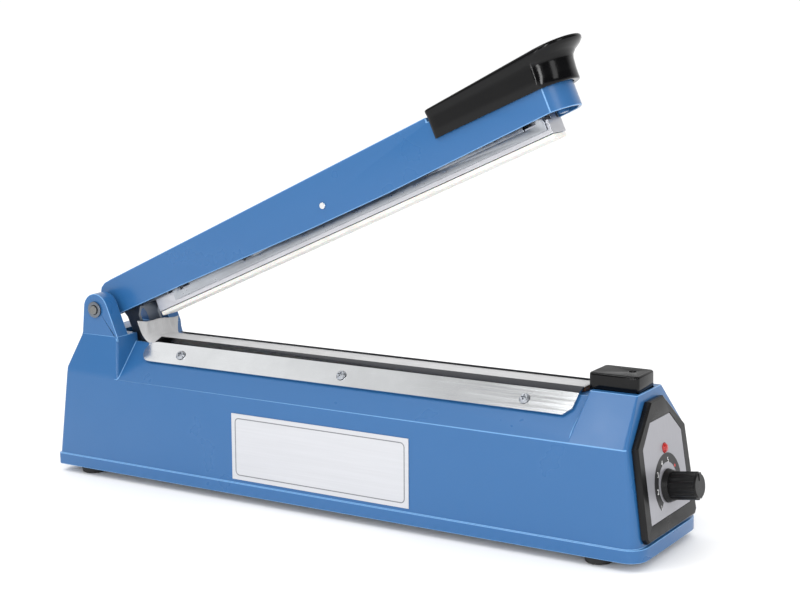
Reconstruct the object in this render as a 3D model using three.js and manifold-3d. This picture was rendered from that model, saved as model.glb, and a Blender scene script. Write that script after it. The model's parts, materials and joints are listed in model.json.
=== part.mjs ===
// Impulse heat sealer, hand-lever type, 300 mm seal length.
// Millimetres, +Z up. +X runs from the hinge to the control panel, -Y is the front.
// Geometry is laid out from the left end of the rim (x) and the rim's bottom face (z),
// and moved as a whole at the end so that the origin is the centre of the footprint.
import * as THREE from 'three';
import { mergeVertices } from 'three/addons/utils/BufferGeometryUtils.js';
import { ConvexGeometry } from 'three/addons/geometries/ConvexGeometry.js';
import Module from 'manifold-3d';

const wasm = await Module();
wasm.setup();

// ---- driving dimensions -------------------------------------------------
const BODY_L = 430;
const RIM_HALF_W = 40.6;
const RIM_H = 7.6;
const WALL = 2.7;
const CREASE_Z = 62.5;
const CREASE_HALF_W = 37.4;
const WALL_FOOT_HALF_W = 39.6;
const LEFT_CREASE_X = 8.9;
const DECK_Z = 84.3;
const DECK_HALF_W = 14.6;
const BLOCK_Z = 87.8;
const BLOCK_HALF_W = 15.6;
const TOWER_X = 52;
const TOWER_FOOT_X = 55;
const TOWER_LEFT_X = 20.4;
const TOWER_Z = 90;
const END_SLOPE = 0.134;
const END_X = 428.9;

const PIVOT_X = 34;
const PIVOT_Z = 107;
const PIN_R = 3;
const RUNNING_GAP = 0.1;
const EAR_OUT = 32;
const EAR_IN = 21.5;
const EAR_R = 10.4;

const OPEN_DEG = 23.1;
const PIN_U = -4.07;
const PIN_W = 0.65;
const ARM_HALF_W = 17;
const SHEET = 1.8;
const NOSE_X = 354;
const HANDLE_START = 279;
const HANDLE_HALF_W = 19;
const ROCKER_X = 188;
const ROCKER_Z = 1;
const BAR_START = 27;
const BAR_END = 346;
const CHANNEL_START = 45;
const CHANNEL_END = 344;

const FOOT_H = 5;
const FOOT_R = 9;
const FEET = [[22, -29], [400, -29], [22, 29], [400, 29]];

const BED_START = 64;
const BED_END = 381;
const CLAMP_SCREWS = [97, 223.5, 350];
const PLATE_START = 65.6;
const SLOPE = Math.atan2(DECK_Z - CREASE_Z, CREASE_HALF_W - DECK_HALF_W);

const KNOB_Z = 34;
const PANEL_T = 4;
const LAMP_Y = 1.5;
const LAMP_Z = 55;
const SPRING_PIN = [4.5, -36];
const ANCHOR = [108, 58];
const ORIGIN_X = 223.35;

// ---- materials ----------------------------------------------------------
const finish = (color, roughness, metalness) =>
  () => new THREE.MeshStandardMaterial({ color, roughness, metalness });
const PAINT = finish(0x4f80b8, 0.38, 0.05);
const BLACK = finish(0x232325, 0.42, 0);
const RUBBER = finish(0x1c1c1d, 0.85, 0);
const STEEL = finish(0xa9adb2, 0.35, 0.9);
const BRIGHT = finish(0xdfe2e5, 0.18, 1);
const DARK_STEEL = finish(0x4e545c, 0.45, 0.8);
const ALU = finish(0xc6c8ca, 0.4, 0.85);
const SILICONE = finish(0xd9d9d4, 0.7, 0);
const CLOTH = finish(0xcbc6bb, 0.55, 0);
const BAKELITE = finish(0x4a3222, 0.6, 0);
const BRASS = finish(0xb08d4a, 0.35, 0.9);
const LABEL = finish(0xd8d9db, 0.5, 0.1);
const BOARD = finish(0x2f6b3f, 0.55, 0);
const COIL = finish(0xc9a64a, 0.6, 0);
const CORE = finish(0x6f7377, 0.55, 0.6);
const RED = finish(0xc02a24, 0.25, 0);
const BLUE_PLASTIC = finish(0x24508c, 0.4, 0);

// ---- solids -------------------------------------------------------------
const solid = (geometry) => {
  geometry.deleteAttribute('normal');
  geometry.deleteAttribute('uv');
  const g = mergeVertices(geometry, 1e-4);
  return new wasm.Manifold(new wasm.Mesh({
    numProp: 3,
    vertProperties: new Float32Array(g.attributes.position.array),
    triVerts: new Uint32Array(g.index.array),
  }));
};

const join = (...parts) => parts.reduce((a, b) => a.add(b));
const cut = (body, ...tools) => tools.reduce((a, b) => a.subtract(b), body);

const box = (x0, x1, y0, y1, z0, z1) => solid(
  new THREE.BoxGeometry(x1 - x0, y1 - y0, z1 - z0)
    .translate((x0 + x1) / 2, (y0 + y1) / 2, (z0 + z1) / 2));

const hull = (points) => solid(new ConvexGeometry(points.map((p) => new THREE.Vector3(...p))));

const cylZ = (x, y, r, z0, z1, n = 24) => solid(
  new THREE.CylinderGeometry(r, r, z1 - z0, n).rotateX(Math.PI / 2).translate(x, y, (z0 + z1) / 2));

const cylY = (x, z, r, y0, y1, n = 24) => solid(
  new THREE.CylinderGeometry(r, r, y1 - y0, n).translate(x, (y0 + y1) / 2, z));

const outline = (points) => new THREE.Shape(points.map((p) => new THREE.Vector2(...p)));

const extrude = (points, depth) => new THREE.ExtrudeGeometry(
  outline(points), { depth, bevelEnabled: false, steps: 1 });

// Outline in XZ, extruded from y0 to y1.
const prismY = (points, y0, y1) => solid(
  extrude(points, y1 - y0).rotateX(Math.PI / 2).translate(0, y1, 0));

// Outline in YZ, extruded from x0 to x1.
const CYCLE = new THREE.Matrix4().set(0, 0, 1, 0, 1, 0, 0, 0, 0, 1, 0, 0, 0, 0, 0, 1);
const prismX = (points, x0, x1) => solid(
  extrude(points, x1 - x0).applyMatrix4(CYCLE).translate(x0, 0, 0));

// Outline in XY, extruded from z0 to z1.
const prismZ = (points, z0, z1) => solid(extrude(points, z1 - z0).translate(0, 0, z0));

const arc = (cx, cy, r, a0, a1, n) => Array.from({ length: n + 1 }, (_, i) => {
  const a = THREE.MathUtils.degToRad(a0 + (a1 - a0) * i / n);
  return [cx + r * Math.cos(a), cy + r * Math.sin(a)];
});

// r rounds the corners, or only the right-hand ones where the left has its own radius.
const roundedRect = (x0, x1, y0, y1, r, left = r, n = 5) => [
  ...arc(x1 - r, y1 - r, r, 0, 90, n), ...arc(x0 + left, y1 - left, left, 90, 180, n),
  ...arc(x0 + left, y0 + left, left, 180, 270, n), ...arc(x1 - r, y0 + r, r, 270, 360, n),
];

const ring = (x0, x1, halfW, z, r, left = r) =>
  roundedRect(x0, x1, -halfW, halfW, r, left).map(([x, y]) => [x, y, z]);

const loft = (...rings) => hull(rings.flat());

// A solid placed by a matrix whose columns are given directions.
const place = (body, matrix) => body.transform(matrix.elements);

const endX = (z) => END_X - END_SLOPE * z;

// ---- assembly -----------------------------------------------------------
const group = new THREE.Group();
group.name = 'impulse_heat_sealer';

const add = (name, body, material) => {
  const mesh = body.getMesh();
  const geometry = new THREE.BufferGeometry();
  geometry.setAttribute('position',
    new THREE.BufferAttribute(new Float32Array(mesh.vertProperties), 3));
  geometry.setIndex(new THREE.BufferAttribute(new Uint32Array(mesh.triVerts), 1));
  geometry.translate(-ORIGIN_X, 0, FOOT_H);
  geometry.computeVertexNormals();
  const node = new THREE.Mesh(geometry, material());
  node.name = name;
  group.add(node);
};

// Arm parts are laid out closed, with the hinge pin at (PIN_U, PIN_W), then swung open.
const OPEN = new THREE.Matrix4()
  .makeTranslation(PIVOT_X, 0, PIVOT_Z)
  .multiply(new THREE.Matrix4().makeRotationY(-THREE.MathUtils.degToRad(OPEN_DEG)))
  .multiply(new THREE.Matrix4().makeTranslation(-PIN_U, 0, -PIN_W));
const addArm = (name, body, material) => add(name, place(body, OPEN), material);

// The end face leans inwards: local x is y, local y runs up the face, local z points outwards.
const LEAN = Math.hypot(1, END_SLOPE);
const END_FACE = new THREE.Matrix4().set(
  0, -END_SLOPE / LEAN, 1 / LEAN, END_X,
  1, 0, 0, 0,
  0, 1 / LEAN, END_SLOPE / LEAN, 0,
  0, 0, 0, 1);
const addPanel = (name, body, material) => add(name, place(body, END_FACE), material);

// Front slope: local x along the body, local y up the slope, local z outwards.
const slopeFrame = (side) => new THREE.Matrix4().set(
  -side, 0, 0, 0,
  0, -side * Math.cos(SLOPE), side * Math.sin(SLOPE), side * CREASE_HALF_W,
  0, Math.sin(SLOPE), Math.cos(SLOPE), CREASE_Z,
  0, 0, 0, 1);
const alongSlope = (side, x) => -side * x;

// ---- housing ------------------------------------------------------------
const slopeCylinders = (r, z0, z1) => [-1, 1].flatMap((side) => CLAMP_SCREWS.map((x) =>
  place(cylZ(alongSlope(side, x), 23.5, r, z0, z1, 16), slopeFrame(side))));

const panelHoles = () => join(
  cylZ(0, KNOB_Z * LEAN, 4.1, -12, 10),
  cylZ(LAMP_Y, LAMP_Z * LEAN, 3.1, -12, 10));

const ear = (y0, y1) => prismY([
  [TOWER_LEFT_X, TOWER_Z - 3], [TOWER_X, TOWER_Z - 3], [TOWER_X, TOWER_Z],
  ...arc(PIVOT_X, PIVOT_Z, EAR_R, 20, 180, 10), [TOWER_LEFT_X + 0.8, TOWER_Z],
], y0, y1);

const housing = () => {
  const outer = join(
    prismZ(roundedRect(0, BODY_L, -RIM_HALF_W, RIM_HALF_W, 11, 3), 0, RIM_H),
    loft(ring(0.7, endX(RIM_H), WALL_FOOT_HALF_W, RIM_H - 0.5, 9, 3),
      ring(LEFT_CREASE_X, endX(CREASE_Z), CREASE_HALF_W, CREASE_Z, 2)),
    loft(ring(LEFT_CREASE_X, endX(CREASE_Z), CREASE_HALF_W, CREASE_Z, 2),
      ring(22, endX(DECK_Z), DECK_HALF_W, DECK_Z, 1)),
    loft(ring(384, endX(CREASE_Z), CREASE_HALF_W, CREASE_Z, 2),
      ring(388, endX(BLOCK_Z), BLOCK_HALF_W, BLOCK_Z, 1)),
    loft(ring(LEFT_CREASE_X, TOWER_FOOT_X, CREASE_HALF_W, CREASE_Z, 2),
      ring(9.2, TOWER_FOOT_X - 0.5, CREASE_HALF_W - 0.8, 67, 2),
      ring(TOWER_LEFT_X, TOWER_X, EAR_OUT, TOWER_Z, 2)),
    ear(-EAR_OUT, -EAR_IN), ear(EAR_IN, EAR_OUT));
  const inner = join(
    loft(ring(4.5, 425, 36.2, -1, 7), ring(4.5, 425, 36.2, 8, 7), ring(14, 417.2, 34.6, 61, 1)),
    loft(ring(14, 417.2, 34.6, 60.9, 1), ring(24, 414.4, 13.4, DECK_Z - WALL, 1)),
    loft(ring(388, 417.2, 34, 61, 1), ring(391.5, 414.2, 13.6, BLOCK_Z - WALL, 1)),
    loft(ring(14, TOWER_FOOT_X - WALL, 34.6, 60, 1),
      ring(TOWER_LEFT_X + 3.2, TOWER_X - WALL, EAR_OUT - 2.8, TOWER_Z - WALL, 1)));
  const bosses = FEET.map(([x, y]) => cylZ(x, y, 4.2, 2.5, 16, 16));
  const seats = [[-36, -31], [31, 36]].map(([y0, y1]) => cylY(ANCHOR[0], ANCHOR[1], 4.6, y0, y1, 16));
  const webs = FEET.map(([x, y]) =>
    box(x - 1.5, x + 1.5, Math.min(y, Math.sign(y) * 37.2), Math.max(y, Math.sign(y) * 37.2), 2.5, 16));
  const shell = join(cut(outer, inner), ...bosses, ...webs, ...seats);
  return cut(shell,
    box(36, 61.5, -13, 13, DECK_Z - 6, TOWER_Z + 6),
    box(380, 415.5, -11.4, 11.4, DECK_Z, BLOCK_Z + 3),
    box(393.6, 410.4, -5.4, 5.4, DECK_Z - 6, BLOCK_Z + 3),
    cylY(PIVOT_X, PIVOT_Z, PIN_R + RUNNING_GAP, -40, 40),
    cylZ(67, 0, 2.2, 78, 90, 16), cylZ(378, 0, 2.2, 78, 90, 16),
    cylY(ANCHOR[0], ANCHOR[1], 2.15, -34.2, 34.2, 16),
    ...FEET.map(([x, y]) => cylZ(x, y, 1.65, 1, 14, 12)),
    box(-5, 12, 19.5, 30.5, 22, 33),
    ...slopeCylinders(1.6, -10, 5), place(panelHoles(), END_FACE));
};
add('base_housing', housing(), PAINT);

// ---- underside ----------------------------------------------------------
const bottomPlate = () => cut(
  prismZ(roundedRect(5, 424.5, -35.8, 35.8, 6), 1, 2.2),
  ...FEET.map(([x, y]) => cylZ(x, y, 1.8, 0, 4, 12)),
  ...[120, 132, 144, 216, 228, 240].map((x) => box(x, x + 4, -18, 18, 0, 4)));
add('bottom_plate', bottomPlate(), STEEL);

const FOOT_NAMES = ['front_left', 'front_right', 'rear_left', 'rear_right'];
FEET.forEach(([x, y], i) => {
  const foot = cut(
    join(
      solid(new THREE.CylinderGeometry(FOOT_R, FOOT_R - 1.2, 4.7, 28).rotateX(Math.PI / 2)
        .translate(x, y, -FOOT_H + 4.7 / 2)),
      cylZ(x, y, 6.4, -0.8, 0.7, 20)),
    cylZ(x, y, 1.9, -6, 2, 16), cylZ(x, y, 4.2, -6, -2, 20));
  add(`foot_${FOOT_NAMES[i]}`, foot, RUBBER);
  const screw = cut(
    join(cylZ(x, y, 1.5, -2.9, 12, 12), cylZ(x, y, 3.3, -4.2, -2.5, 16)),
    box(x - 2, x + 2, y - 0.4, y + 0.4, -5, -3.4), box(x - 0.4, x + 0.4, y - 2, y + 2, -5, -3.4));
  add(`foot_screw_${FOOT_NAMES[i]}`, screw, STEEL);
});

// ---- sealing bed --------------------------------------------------------
add('work_bed', cut(
  prismX([[-7.4, 84.6], [7.4, 84.6], [7.4, 86.1], [6.6, 86.5], [-6.6, 86.5], [-7.4, 86.1]],
    BED_START, BED_END),
  cylZ(67, 0, 2.2, 80, 90, 16), cylZ(378, 0, 2.2, 80, 90, 16)), BAKELITE);

add('heating_element', box(70, 375, -1.2, 1.2, 86.6, 86.8), BRIGHT);
[['left', 67], ['right', 378]].forEach(([side, x]) => {
  add(`element_terminal_${side}`, join(cylZ(x, 0, 2.1, 79.4, 86.85, 16), cylZ(x, 0, 3.4, 79.6, 81.2, 6)),
    BRASS);
});

// Cloth cross-section, front to back, lying on the slopes and over the bed.
const CLOTH_T = 0.3;
const clothSection = () => {
  const lift = 0.35;
  const n = [Math.sin(SLOPE) * lift, Math.cos(SLOPE) * lift];
  const low = [DECK_HALF_W + 7.2 + n[0], DECK_Z - 7.2 * Math.tan(SLOPE) + n[1]];
  const bend = [DECK_HALF_W + n[0] - 0.2, DECK_Z + n[1]];
  const middle = [(low[0] + bend[0]) / 2, (low[1] + bend[1]) / 2];
  const half = [low, middle, bend, [11.6, 86.1], [8.4, 87.05], [4, 87.1]];
  return [...half.map(([y, z]) => [-y, z]), [0, 87.1], ...half.slice().reverse()];
};

// The free left end of the cloth turns up to a level edge beyond the clamp plates.
const CLOTH_FREE_X = 65.2;
const CLOTH_EDGE_Z = 97;
const clothRise = (turn, [y, z]) => [
  CLOTH_FREE_X - (4.2 - 1.6 * y / 22) * Math.sin(turn),
  y * (1 - (y > 0 ? 0.16 : 0.04) * Math.sin(turn) ** 2),
  z + (CLOTH_EDGE_Z - y * 0.05 - z) * (1 - Math.cos(turn)),
];

const sheetSolid = (rows, thickness) => {
  const nu = rows.length;
  const nv = rows[0].length;
  const within = (k, n) => Math.min(n - 1, Math.max(0, k));
  const at = (i, j) => new THREE.Vector3(...rows[within(i, nu)][within(j, nv)]);
  const positions = [];
  for (const sign of [1, -1]) {
    for (let i = 0; i < nu; i += 1) {
      for (let j = 0; j < nv; j += 1) {
        const normal = at(i + 1, j).sub(at(i - 1, j)).cross(at(i, j + 1).sub(at(i, j - 1))).normalize();
        const p = at(i, j).addScaledVector(normal, sign * thickness / 2);
        positions.push(p.x, p.y, p.z);
      }
    }
  }
  const id = (s, i, j) => s * nu * nv + i * nv + j;
  const index = [];
  const quad = (a, b, c, d) => index.push(a, b, c, a, c, d);
  for (let i = 0; i < nu - 1; i += 1) {
    for (let j = 0; j < nv - 1; j += 1) {
      quad(id(0, i, j), id(0, i + 1, j), id(0, i + 1, j + 1), id(0, i, j + 1));
      quad(id(1, i, j), id(1, i, j + 1), id(1, i + 1, j + 1), id(1, i + 1, j));
    }
  }
  for (let i = 0; i < nu - 1; i += 1) {
    quad(id(0, i, 0), id(1, i, 0), id(1, i + 1, 0), id(0, i + 1, 0));
    quad(id(0, i, nv - 1), id(0, i + 1, nv - 1), id(1, i + 1, nv - 1), id(1, i, nv - 1));
  }
  for (let j = 0; j < nv - 1; j += 1) {
    quad(id(0, 0, j), id(0, 0, j + 1), id(1, 0, j + 1), id(1, 0, j));
    quad(id(0, nu - 1, j), id(1, nu - 1, j), id(1, nu - 1, j + 1), id(0, nu - 1, j + 1));
  }
  const geometry = new THREE.BufferGeometry();
  geometry.setAttribute('position', new THREE.Float32BufferAttribute(positions, 3));
  geometry.setIndex(index);
  return solid(geometry);
};

const clothRows = () => {
  const section = clothSection();
  const turns = [90, 75, 60, 45, 30, 15];
  const free = turns.map((d) => section.map((p) => clothRise(THREE.MathUtils.degToRad(d), p)));
  const flat = [CLOTH_FREE_X, 90, 220, 300, BED_END].map((x) => section.map(([y, z]) => [x, y, z]));
  return [...free, ...flat];
};

add('ptfe_cloth', cut(sheetSolid(clothRows(), CLOTH_T), ...slopeCylinders(2, -2, 4)), CLOTH);

// Clamp plates: a strip on the slope with an upper lip bent over the edge of the bed.
const clampPlate = (side) => {
  const len = Math.hypot(DECK_Z - CREASE_Z, CREASE_HALF_W - DECK_HALF_W);
  const foot = 16.4;
  const lift = 1.0;
  const end = (len - foot) / 2;
  const strip = [
    ...arc(PLATE_START + end, foot + end, end, 90, 270, 10),
    [376.5, foot], [381, foot + 5], [381.6, len],
  ].map(([x, v]) => [alongSlope(side, x), v]);
  const ordered = side < 0 ? strip : strip.slice().reverse();
  const lower = place(prismZ(ordered, lift, lift + 1), slopeFrame(side));
  const n = [Math.sin(SLOPE), Math.cos(SLOPE)];
  const y0 = DECK_HALF_W + n[0] * lift;
  const z0 = DECK_Z + n[1] * lift;
  const lip = [[y0 + 0.5, z0 - 0.5], [y0 + 1.2, z0 + 0.2], [y0 + 0.2, z0 + 1.0], [9.6, 88.0], [9.6, 87.4]];
  const points = (side < 0 ? lip.map(([y, z]) => [-y, z]).reverse() : lip);
  const upper = prismX(points, PLATE_START + 5, 381.4);
  return cut(join(lower, upper), ...slopeCylinders(1.8, -3, 6));
};

const clampScrew = (side, x) => {
  const u = alongSlope(side, x);
  const head = cut(
    solid(new THREE.CylinderGeometry(2.3, 3.4, 1.6, 20).rotateX(Math.PI / 2).translate(u, 23.5, 3.1)),
    box(u - 1.7, u + 1.7, 23.15, 23.85, 3.1, 5), box(u - 0.35, u + 0.35, 21.8, 25.2, 3.1, 5));
  return place(join(head, cylZ(u, 23.5, 1.5, -5, 2.6, 12)), slopeFrame(side));
};

[['front', -1], ['rear', 1]].forEach(([name, side]) => {
  add(`clamp_plate_${name}`, clampPlate(side), BRIGHT);
  CLAMP_SCREWS.forEach((x, i) => add(`clamp_screw_${name}_${i + 1}`, clampScrew(side, x), STEEL));
});

// ---- hinge --------------------------------------------------------------
add('hinge_pin', cylY(PIVOT_X, PIVOT_Z, PIN_R, -EAR_OUT - 2.6, EAR_OUT + 2.6), BRIGHT);
[['front', -1], ['rear', 1]].forEach(([name, s]) => {
  const [a, b] = [EAR_OUT + 0.2, EAR_OUT + 1.5].map((y) => y * s).sort((p, q) => p - q);
  add(`pin_clip_${name}`, cut(cylY(PIVOT_X, PIVOT_Z, 5.4, a, b, 24),
    cylY(PIVOT_X, PIVOT_Z, PIN_R + RUNNING_GAP, a - 1, b + 1)), DARK_STEEL);
  const [c, d] = [ARM_HALF_W + 0.3, EAR_IN - 0.3].map((y) => y * s).sort((p, q) => p - q);
  add(`hinge_spacer_${name}`, cut(cylY(PIVOT_X, PIVOT_Z, 5.2, c, d, 24),
    cylY(PIVOT_X, PIVOT_Z, PIN_R + RUNNING_GAP, c - 1, d + 1)), PAINT);
});

// ---- control end --------------------------------------------------------
const panelOutline = (grow = 0) => [
  [8.9 + grow, 83.1 * LEAN + grow], [-8.9 - grow, 83.1 * LEAN + grow],
  [-31.4 - grow, 61.8 * LEAN], [-33.2 - grow, 12.4 * LEAN], [-31.2 - grow, 9.4 * LEAN - grow],
  [31.2 + grow, 9.4 * LEAN - grow], [33.2 + grow, 12.4 * LEAN], [31.4 + grow, 61.8 * LEAN],
];
const labelOutline = (g = 0) => [
  [12.6 + g, 72.2 * LEAN + g], [-12.6 - g, 72.2 * LEAN + g], [-25 - g, 60 * LEAN],
  [-25.6 - g, 18.1 * LEAN - g], [25.6 + g, 18.1 * LEAN - g], [25 + g, 60 * LEAN],
];
addPanel('panel_bezel', cut(
  hull([...panelOutline().map(([x, y]) => [x, y, 0.4]),
    ...panelOutline().map(([x, y]) => [x, y, PANEL_T - 1]),
    ...panelOutline(-1).map(([x, y]) => [x, y, PANEL_T])]),
  prismZ(labelOutline(0.3), PANEL_T - 0.8, PANEL_T + 2),
  cylZ(0, KNOB_Z * LEAN, 4.1, -2, 8), cylZ(LAMP_Y, LAMP_Z * LEAN, 3.1, -2, 8)), BLACK);
addPanel('panel_label', cut(prismZ(labelOutline(), PANEL_T - 0.5, PANEL_T - 0.1),
  cylZ(0, KNOB_Z * LEAN, 4.1, -2, 8), cylZ(LAMP_Y, LAMP_Z * LEAN, 3.1, -2, 8)), LABEL);

const knobBody = () => {
  const n = 14;
  const points = Array.from({ length: n * 4 }, (_, i) => {
    const a = i / (n * 4) * Math.PI * 2;
    const r = i % 4 < 2 ? 7.9 : 7.3;
    return [r * Math.cos(a), r * Math.sin(a)];
  });
  const grip = prismZ(points, 2.4, 18);
  const skirt = solid(new THREE.CylinderGeometry(8.6, 9.6, 3, 36)
    .rotateX(Math.PI / 2).translate(0, 0, 1.5));
  const cap = solid(new THREE.CylinderGeometry(6.6, 7.2, 1, 36).rotateX(Math.PI / 2).translate(0, 0, 18.4));
  const pointer = box(-0.6, 0.6, 3, 7.1, 18.5, 19.3);
  return cut(join(grip, skirt, cap, pointer), cylZ(0, 0, 3.05, -1, 11));
};
addPanel('knob', knobBody().translate([0, KNOB_Z * LEAN, PANEL_T + 0.4]), BLACK);
addPanel('potentiometer_shaft', cylZ(0, KNOB_Z * LEAN, 2.9, -3, 14.8), ALU);
addPanel('potentiometer', cut(join(
  cylZ(0, KNOB_Z * LEAN, 8.2, -14, -4.2, 28), cylZ(0, KNOB_Z * LEAN, 3.9, -5, 3.6)),
cylZ(0, KNOB_Z * LEAN, 3, -4.6, 6)), STEEL);
addPanel('indicator_lamp', join(cylZ(LAMP_Y, LAMP_Z * LEAN, 2.9, -11, 4.4, 20),
  solid(new THREE.CylinderGeometry(1.5, 2.9, 1.3, 20).rotateX(Math.PI / 2)
    .translate(LAMP_Y, LAMP_Z * LEAN, 5))), RED);

// Push button over the end block; its foot passes through the deck to the switch.
const buttonBody = () => {
  const top = (z, r, inset) => ring(384.7 + inset, 415.2 - inset, 11.1 - inset, z, r);
  const head = loft(top(DECK_Z + 2.7, 2.6, 0), top(95.7, 2.6, 0), top(97.1, 2, 1.3));
  const foot = box(394, 410, -5, 5, 74.6, 90);
  return cut(join(head, foot), cylZ(406.5, 0.5, 2.2, 95.4, 100, 20));
};
add('switch_button', buttonBody(), BLACK);
add('microswitch', join(box(393, 411, -4.8, 4.8, 57, 71), box(399, 403, -1.6, 1.6, 70, 71.8),
  box(395, 396.2, -1.5, 1.5, 51, 58), box(404, 405.2, -1.5, 1.5, 51, 58)), BLACK);

// ---- electrical parts on the bottom plate -------------------------------
const TX = 182;
add('transformer_core', cut(box(TX - 33, TX + 33, -16, 16, 4, 59),
  box(TX - 22, TX - 10.5, -20, 20, 15, 48), box(TX + 10.5, TX + 22, -20, 20, 15, 48)), CORE);
add('transformer_coil', cut(box(TX - 21.5, TX + 21.5, -25, 25, 15.4, 47.6),
  box(TX - 10.9, TX + 10.9, -16.4, 16.4, 10, 55)), COIL);
add('transformer_strap', cut(
  join(box(TX - 34.6, TX + 34.6, -13, 13, 2.6, 60.6), box(TX - 45, TX + 45, -13, 13, 2.6, 3.8)),
  box(TX - 33.3, TX + 33.3, -14, 14, 0, 59.3),
  cylZ(TX - 40, 0, 2, 0, 6, 12), cylZ(TX + 40, 0, 2, 0, 6, 12)), STEEL);

add('timer_board', box(300, 374, -24, 24, 14, 15.6), BOARD);
add('board_post_front', box(304, 370, -22, -18, 2.6, 13.7), BLACK);
add('board_post_rear', box(304, 370, 18, 22, 2.6, 13.7), BLACK);
add('relay', box(308, 327, -18, -2, 15.9, 31), BLUE_PLASTIC);
add('capacitor', cylZ(350, 10, 6.2, 15.9, 38, 24), BLACK);

// Inlet for the supply lead in the left end wall, lead not fitted.
add('cord_inlet', cut(
  join(box(-0.6, 9, 19.8, 30.2, 22.3, 32.7), box(-1.6, 0.9, 17.8, 32.2, 20.3, 34.7)),
  solid(new THREE.CylinderGeometry(3.4, 3.4, 40, 20).rotateZ(Math.PI / 2).translate(0, 25, 27.5)),
), BLACK);

// Blank rating plate on the front wall.
const frontY = (z) => -(WALL_FOOT_HALF_W
  + (CREASE_HALF_W - WALL_FOOT_HALF_W) * (z - RIM_H + 0.5) / (CREASE_Z - RIM_H + 0.5));
add('rating_label', prismX([
  [frontY(10) - 0.5, 10], [frontY(10) - 0.2, 10], [frontY(52) - 0.2, 52], [frontY(52) - 0.5, 52],
].reverse(), 150, 281.5), LABEL);

// ---- arm ----------------------------------------------------------------
const planOutline = (x0, halfW, noseX, tip, n = 12) => {
  const drop = tip - noseX;
  const r = (halfW * halfW + drop * drop) / (2 * drop);
  const a = THREE.MathUtils.radToDeg(Math.asin(halfW / r));
  return [[x0, -halfW], ...arc(tip - r, 0, r, -a, a, n), [x0, halfW]];
};

const armSide = [
  [-10.4, 9.6], [-9.8, -2.5], [-7, -6.6], [60, -6.8], [175, -8.8], [230, -8.8], [353, -6], [380, -6],
  [380, 18.8], [278.2, 18.8], [277.4, 21.9], [178, 19.3], [90, 18.2], [3.4, 16.7], [-2.5, 16.3],
  [-6.6, 14.6],
];
const armHollow = [
  [-8.6, 9.2], [-8.4, -12], [380, -12], [380, 17], [277, 17], [276, 20], [178, 17.5], [90, 16.4],
  [3.4, 14.9], [-2.2, 14.5], [-5.2, 13],
];
const armShell = () => cut(
  prismY(armSide, -ARM_HALF_W, ARM_HALF_W).intersect(
    prismZ(planOutline(-30, ARM_HALF_W, NOSE_X, 362.6), -30, 50)),
  prismY(armHollow, -ARM_HALF_W + SHEET, ARM_HALF_W - SHEET).intersect(
    prismZ(planOutline(-30, ARM_HALF_W - SHEET, NOSE_X - 1, 360.6), -30, 50)),
  cylY(PIN_U, PIN_W, PIN_R + RUNNING_GAP, -30, 30),
  cylY(ROCKER_X, ROCKER_Z, 1.6, -30, 30),
  cylZ(292, 0, 1.8, 10, 24, 12), cylZ(340, 0, 1.8, 10, 24, 12));
addArm('arm_shell', armShell(), PAINT);

const handleBody = () => {
  const at = (w, halfW, nose, tip) => planOutline(HANDLE_START, halfW, nose, tip)
    .map(([x, y]) => [x, y, w]);
  const skirt = loft(at(8.2, HANDLE_HALF_W, NOSE_X, 367.4), at(23.6, HANDLE_HALF_W, NOSE_X, 368.4));
  const cap = hull([
    ...at(20, HANDLE_HALF_W - 0.4, NOSE_X, 369).filter(([x]) => x > 320),
    ...at(25.6, HANDLE_HALF_W + 0.6, 360, 377.4).filter(([x]) => x > 320),
    ...at(29.6, HANDLE_HALF_W - 0.6, 358, 376).filter(([x]) => x > 320),
    [HANDLE_START, -18.6, 22], [HANDLE_START, 18.6, 22],
    [HANDLE_START + 0.4, -17.4, 25.2], [HANDLE_START + 0.4, 17.4, 25.2],
    [350, -8, 32], [350, 8, 32], [366, 0, 32.3], [300, -8, 28], [300, 8, 28],
  ]);
  const hollow = prismZ(planOutline(HANDLE_START - 5, ARM_HALF_W + 0.3, NOSE_X + 0.3, 363.1), 0, 19.1);
  return cut(join(skirt, cap), hollow, cylZ(292, 0, 1.7, 15, 25.5, 12), cylZ(340, 0, 1.7, 15, 25.5, 12));
};
addArm('arm_handle', handleBody(), BLACK);
[['rear', 292], ['front', 340]].forEach(([name, x]) => {
  addArm(`handle_screw_${name}`, cut(
    join(cylZ(x, 0, 1.5, 15.6, 25, 12), cylZ(x, 0, 3.2, 14.8, 16.7, 16)),
    box(x - 2, x + 2, -0.4, 0.4, 14, 15.7), box(x - 0.4, x + 0.4, -2, 2, 14, 15.7)), STEEL);
});

// Rest stop in the nose that meets the push button.
addArm('switch_striker', join(box(351, 355, -3, 3, -6.9, 14), box(349, 357, -6, 6, 12, 16.6)), PAINT);

// ---- lever bracket and return spring ------------------------------------
const leverBracket = () => {
  const side = [
    [-8.1, 7.5], [-8.1, -4], [-5, -6.4], [-1, -6.4], [0.5, -10], [0.5, -34],
    ...arc(SPRING_PIN[0], SPRING_PIN[1], 4.6, 180, 340, 8),
    [10.3, -28], [10.3, -12], [14, -7.2], [40, -7.2], [42, -5], [42, 12], [40, 14.2], [-1.4, 14.2],
  ];
  const solidU = prismY(side, -10.4, 10.4);
  return cut(solidU, prismY([[-20, -60], [60, -60], [60, 12.6], [-20, 12.6]], -8.4, 8.4),
    cylY(PIN_U, PIN_W, PIN_R + RUNNING_GAP, -30, 30),
    cylY(SPRING_PIN[0], SPRING_PIN[1], 1.85, -30, 30, 16));
};
addArm('lever_bracket', leverBracket(), DARK_STEEL);
addArm('spring_pin', cylY(SPRING_PIN[0], SPRING_PIN[1], 1.8, -11.6, 11.6, 16), STEEL);
add('spring_anchor', cylY(ANCHOR[0], ANCHOR[1], 2, -34, 34, 20), STEEL);

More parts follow.
